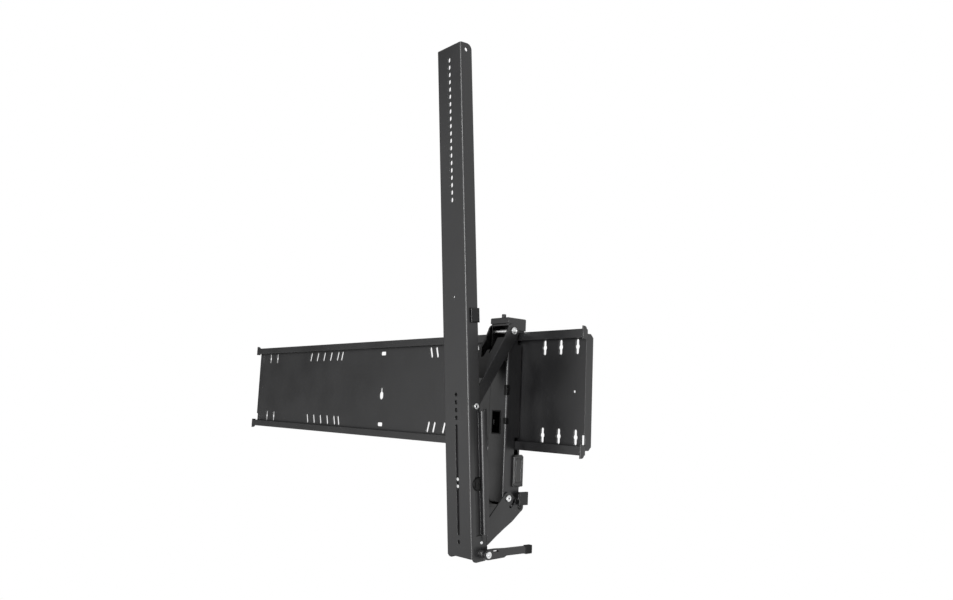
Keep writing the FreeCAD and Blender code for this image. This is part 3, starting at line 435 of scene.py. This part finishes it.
def skin_piece(name, points, body, slot, finish=None):
    """A welded skin over a grid (rows, columns, 3) in metres, its last column joined to the first."""
    rows, columns = points.shape[:2]
    index = np.arange(rows * columns).reshape(rows, columns)
    index = np.hstack([index, index[:, :1]])
    quads = np.stack([index[:-1, :-1], index[:-1, 1:], index[1:, 1:], index[1:, :-1]], axis=-1)
    mesh = bpy.data.meshes.new(name)
    mesh.from_pydata(points.reshape(-1, 3).tolist(), [], quads.reshape(-1, 4).tolist())
    shape = bmesh.new()
    shape.from_mesh(mesh)
    bmesh.ops.remove_doubles(shape, verts=shape.verts, dist=1e-6)
    bmesh.ops.recalc_face_normals(shape, faces=shape.faces)
    shape.to_mesh(mesh)
    shape.free()
    mesh.polygons.foreach_set("use_smooth", np.ones(len(mesh.polygons), bool))
    mesh.set_sharp_from_angle(angle=math.radians(40))
    mesh.materials.append(finish or finish_of_slot[slot])
    piece = bpy.data.objects.new(name, mesh)
    scene.collection.objects.link(piece)
    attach(piece, body)
    made_pieces.append(name)
    return piece


def skin_pair(name, points, mirror_x, body, slot, finish=None):
    """A skin and its mirror image about the plane x = mirror_x, in metres."""
    skin_piece(name, points, body, slot, finish)
    skin_piece(name + "_far", points * [-1, 1, 1] + [2 * mirror_x, 0, 0], body, slot, finish)


# %% [markdown]
# One formula gives a whole grid at once: a section of (radius, out) points is turned about an
# axis, or carried along a closed path. A section returns to its start under the surface, so
# each skin is closed, and its foot is sunk a little into the solid that carries it, so no light
# passes below. Beads and domes are the sections that most of these pieces share.

# %% Turned sections
def turned(section, centre, steps=64):
    """Rings about an axis along X: (x + out, y + r cos t, z + r sin t), in millimetres."""
    radius, out = np.array(section, float).T[:, :, None]
    t = np.linspace(0, 2 * np.pi, steps, endpoint=False)
    x, y, z = centre
    return np.stack([x + out + 0 * t, y + radius * np.cos(t), z + radius * np.sin(t)], axis=-1) * mm


def bead(inner, outer, height, sunk=0.1, steps=9):
    """A half-round bead: across = middle - half cos s, out = height sin s, for s from 0 to pi."""
    s = np.linspace(0, np.pi, steps)
    across = (inner + outer) / 2 - (outer - inner) / 2 * np.cos(s)
    ridge = np.column_stack([across, height * np.sin(s)])
    return np.vstack([[inner, -sunk], ridge, [outer, -sunk], [inner, -sunk]])


def dome(radius, height, sunk=0.1, steps=8):
    """A shallow dome: out = height (1 - (r / radius)^2), closed underneath."""
    r = np.linspace(0, radius, steps)
    return np.vstack([np.column_stack([r, height * (1 - (r / radius) ** 2)]), [radius, -sunk], [0, -sunk]])


# %% [markdown]
# The small pieces sit on the solids, so their places come from the solids' boxes. A round piece
# is seated in the middle of a solid's right side, which is the side that the camera sees.

# %% Places on the solids
def node_box(name):
    """A solid's lowest and highest corner in millimetres, and its middle."""
    low, high = (np.array(corner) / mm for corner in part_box(name))
    return low, high, (low + high) / 2


def right_face(name):
    """Where a round skin is seated: the middle of a solid's right side, sunk by the seat."""
    low, high, middle = node_box(name)
    return high[0] - seat, middle[1], middle[2]


arm_middle = node_box("display_arm")[2][0]      # X of the plane that the mirrored pieces share
print("arm's middle in millimetres:", round(float(arm_middle), 2))

# %% [markdown]
# The height screw's thread is a ridge that climbs one pitch a turn. At each point the radius is
# the root plus a triangle wave of (height / pitch - turn), so the wave itself is the helix. The
# rows go on over the chamfer and down into the hexagon socket, where the radius follows the
# flat sides: r = inradius / cos(angle from the middle of a side).

# %% Threaded height screw
screw_pitch = 1.25
thread_depth = 0.55
end_chamfer = 0.7       # height without thread under the screw's top
chamfer_inset = 0.3     # radius lost there, under the thread's root
socket_inradius = 2.0
socket_depth = 4.0

low, high, middle = node_box("height_screw")
crest = (high[0] - low[0]) / 2
root = crest - thread_depth
turn = np.linspace(0, 2 * np.pi, 96, endpoint=False)
height = np.linspace(low[2], high[2] - end_chamfer, 170)[:, None]
phase = (height / screw_pitch - turn / (2 * np.pi)) % 1.0
thread = root + (crest - root) * (1 - np.abs(2 * phase - 1))
side = np.abs((turn + np.pi / 6) % (np.pi / 3) - np.pi / 6)
hexagon = socket_inradius / np.cos(side)
socket_foot = high[2] - socket_depth
rings = [
    (0 * turn, low[2]),
    *zip(thread, height[:, 0]),
    (0 * turn + root - chamfer_inset, high[2]),
    (hexagon, high[2]),
    (hexagon, socket_foot),
    (0 * turn, socket_foot),
]
screw_points = np.array([[middle[0] + r * np.cos(turn), middle[1] + r * np.sin(turn), z + 0 * turn]
                         for r, z in rings]).transpose(0, 2, 1) * mm
screw = skin_piece("threaded_screw", screw_points, "screw", "black_steel")
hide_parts("height_screw")
print("screw: crest", round(float(crest), 2), "turns", round(float((high[2] - low[2]) / screw_pitch), 1))

# %% [markdown]
# A pin that is closed in a press has a rolled rim. The upper pivot's head is a full, slightly
# domed disc, the lower one has a black dot in its middle, painted shade for a recess, and the
# elbow's rivet is hollow, so its core is a funnel, painted black as its shade. Both heads of the
# pivot pins and the rivet get the same face, the far one mirrored.

# %% Pin faces
low, high, middle = node_box("upper_pivot_pin")
pin_head = (high[1] - low[1]) / 2
painted_shade_dot = [(0, 0.06), (1.5, 0.06), (1.5, -0.1), (0, -0.1)]
pin_faces = {
    "upper_pivot_pin": (("rim", bead(pin_head - 0.7, pin_head + 0.6, 0.30), "zinc", None),
                        ("boss", dome(pin_head - 0.7, 0.45), "zinc", None)),
    "lower_pivot_pin": (("rim", bead(pin_head - 2.0, pin_head - 0.9, 0.30), "zinc", None),
                        # The dot is matt black: painted shade in the middle of the lower head.
                        ("dot", painted_shade_dot, "black_steel", matt_black)),
}
for node, parts in pin_faces.items():
    pin_middle = node_box(node)[2][0] * mm
    for part, section, slot, finish in parts:
        skin_pair(f"{node}_{part}", turned(section, right_face(node)), pin_middle, "hanger", slot, finish)

low, high, middle = node_box("elbow_pin")
rivet_head = (high[1] - low[1]) / 2
rim = turned(bead(2.3, rivet_head - 0.3, 0.35), right_face("elbow_pin"))
funnel_top = [(0, -0.8), (1.4, -0.8), (2.0, 0.08), (2.2, 0.08)]
funnel_below = [(2.2, -0.1), (1.55, -0.2), (1.55, -1.4), (0, -1.4)]
painted_shade_core = turned(funnel_top + funnel_below, (high[0], middle[1], middle[2]))
skin_pair("elbow_rivet_rim", rim, middle[0] * mm, "arm", "zinc")
# The core is matt black: painted shade inside the hollow rivet.
skin_pair("elbow_rivet_shade_core", painted_shade_core, middle[0] * mm, "arm", "black_steel", matt_black)

skin_piece("kickstand_pin_boss", turned(dome(2.4, 0.5), right_face("kickstand_pin")), "arm", "zinc")
print("pin head", round(float(pin_head), 2), "rivet head", round(float(rivet_head), 2))

# %% [markdown]
# Moulded and pressed pieces carry thin rims. The latch cover has two nested frames: each is a
# half-round bead that runs along a rounded rectangle, so that it catches a line of light.

# %% Frames on the latch cover
frame_insets = (2.0, 5.6)
frame_end_step = 1.0    # how much further the inner frame stops from the cover's ends
frame_corner = 3.2
frame_bead = bead(-0.8, 0.8, 0.95)


def rounded_ridge(section, centre, half_y, half_z, corner, steps=96):
    """A ridge along a rounded rectangle: p(t) = (half - corner) sign(n) + corner n, n = (cos t, sin t)."""
    across, out = np.array(section, float).T[:, :, None]
    t = (np.arange(steps) + 0.5) / steps * 2 * np.pi
    n = np.stack([np.cos(t), np.sin(t)])
    p = (np.array([[half_y], [half_z]]) - corner) * np.sign(n) + corner * n
    x, y, z = centre
    return np.stack([x + out + 0 * t, y + p[0] + across * n[0], z + p[1] + across * n[1]], axis=-1) * mm


low, high, middle = node_box("latch_cover")
half_y, half_z = (high[1] - low[1]) / 2, (high[2] - low[2]) / 2
for k, inset in enumerate(frame_insets):
    ridge = rounded_ridge(frame_bead, right_face("latch_cover"), half_y - inset,
                          half_z - inset - frame_end_step * k, frame_corner)
    skin_piece(f"latch_cover_rim_{k + 1}", ridge, "hanger", "black_plastic")
print("cover's half width and height:", round(float(half_y), 2), round(float(half_z), 2))

# %% [markdown]
# The knob on the arm has a thick rolled rim round a small dome. The upper clip on the hanger's
# fold has a collar round its boss, and a smooth catch shows in the window of the hanger's web.
# They are turned sections too, and the catch is an ellipsoid half hidden in the liner.

# %% Knob, collar and catch
def ellipsoid(centre, half, steps=24):
    """A smooth lump: centre + half (cos u cos v, cos u sin v, sin u), for u from -pi/2 to pi/2."""
    u = np.linspace(-np.pi / 2, np.pi / 2, steps)[:, None]
    v = np.linspace(0, 2 * np.pi, 2 * steps, endpoint=False)
    ball = np.stack([np.cos(u) * np.cos(v), np.cos(u) * np.sin(v), np.sin(u) + 0 * v], axis=-1)
    return (np.array(centre) + np.array(half) * ball) * mm


low, high, middle = node_box("arm_knob")
knob_radius = (high[2] - low[2]) / 2
knob_rim = bead(knob_radius - 2.8, knob_radius - 0.1, 1.5)
for name, section in (("knob_ring", knob_rim), ("knob_dome", dome(2.4, 0.6))):
    skin_piece(name, turned(section, right_face("arm_knob")), "arm", "black_plastic", matt_black)

boss_proud = 1.2        # the clip's boss over the clip's face
boss_in = 3.8           # the boss from the clip's front
boss_height = -0.3
low, high, middle = node_box("edge_clips")
collar = turned(bead(2.6, 3.6, 0.5), (high[0] - boss_proud - seat, low[1] + boss_in, boss_height))
skin_piece("clip_collar", collar, "hanger", "black_plastic", matt_black)

catch_half = (1.6, 2.4, 5.2)
low, high, middle = node_box("window_liner")
catch = ellipsoid((low[0] + 2.6, middle[1] - 1.0, middle[2]), catch_half)
skin_piece("window_catch", catch, "hanger", "black_plastic")
print("knob radius", round(float(knob_radius), 2), "catch half sizes", catch_half)

# %% [markdown]
# The lower link's lobe ends in a riveted stud: a domed head over a chamfered black washer. The
# washer's section starts and ends at its bore, so the ring is closed all round.

# %% Stud on the lower link
stud_out, stud_y, stud_z = 25.5, -14.0, -195.5     # out is from the arm's middle to the link's face
stud_place = (arm_middle + stud_out - seat, stud_y, stud_z)
washer = [(1.9, -0.1), (1.9, 0.5), (4.4, 0.5), (4.7, 0.2), (4.7, -0.1), (1.9, -0.1)]
stud_parts = (("lobe_stud", dome(2.3, 1.3), None), ("lobe_stud_washer", washer, matt_black))
for name, section, finish in stud_parts:
    skin_pair(name, turned(section, stud_place), arm_middle * mm, "link_lower", "black_steel", finish)
print("stud at", [round(float(v), 2) for v in stud_place])

# %% [markdown]
# The latch's spring stands on the lower screw. The solid's coil is hidden, and a coil with the
# same wire, turns and box takes its place, at its full length.

# %% Latch spring
spring_wire = 0.8
spring_turns = 9


def coil(centre, radius, wire, turns, length, steps=24, sides=10):
    """A spring's tube: (R + w cos u)(cos s, sin s) across, length s / (2 pi turns) + w sin u up."""
    s = np.linspace(0, 2 * np.pi * turns, steps * turns + 1)[:, None]
    u = np.linspace(0, 2 * np.pi, sides, endpoint=False)
    w = np.full(s.shape, wire / 2)
    s, w = np.vstack([s[:1], s, s[-1:]]), np.vstack([[[0]], w, [[0]]])
    across = radius + w * np.cos(u)
    rise = wire / 2 + (length - wire) * s / s.max() + w * np.sin(u)
    return (np.array(centre) + np.stack([across * np.cos(s), across * np.sin(s), rise], axis=-1)) * mm


low, high, middle = node_box("latch_spring")
spring_length = high[2] - low[2]
spring_radius = (high[0] - low[0] - spring_wire) / 2
spring_foot = (middle[0], middle[1], low[2])
coil_points = coil(spring_foot, spring_radius, spring_wire, spring_turns, spring_length)
spring = skin_piece("latch_coil", coil_points, "hanger", "zinc")
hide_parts("latch_spring")
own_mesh(spring)
print("made pieces:", len(made_pieces), made_pieces)
